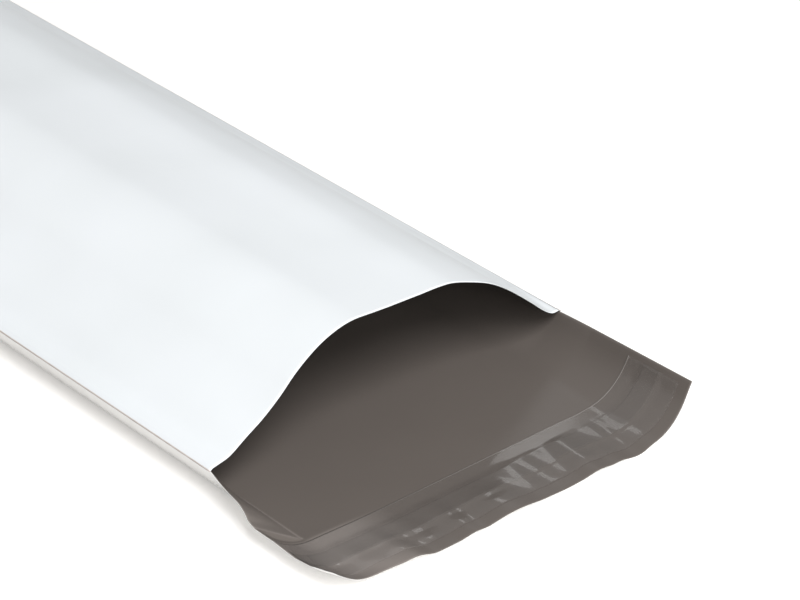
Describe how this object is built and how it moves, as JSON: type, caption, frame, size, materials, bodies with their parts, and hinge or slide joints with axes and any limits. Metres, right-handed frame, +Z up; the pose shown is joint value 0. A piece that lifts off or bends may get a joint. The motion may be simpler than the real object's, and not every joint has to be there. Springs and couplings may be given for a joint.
{
  "type": "poly mailer bag",
  "caption": "Long plastic film mailer lying open: a white pouch with a grey inside, a closing lip and a peel-off liner over its adhesive.",
  "frame": {"origin": "under the middle of the bag's bounding box, on the surface it lies on", "axes": "+X along the bag from the closed end to the lip, +Y across it, +Z up"},
  "size_m": [0.926, 0.216, 0.0599],
  "materials": {
    "film": "smooth coextruded film, white outside and grey inside, soft sheen",
    "adhesive": "tacky hot-melt band",
    "liner": "clear glossy release film"
  },
  "bodies": {
    "root": {"film_pouch": "film", "adhesive_strip": "adhesive", "release_liner": "liner"}
  },
  "joints": []
}
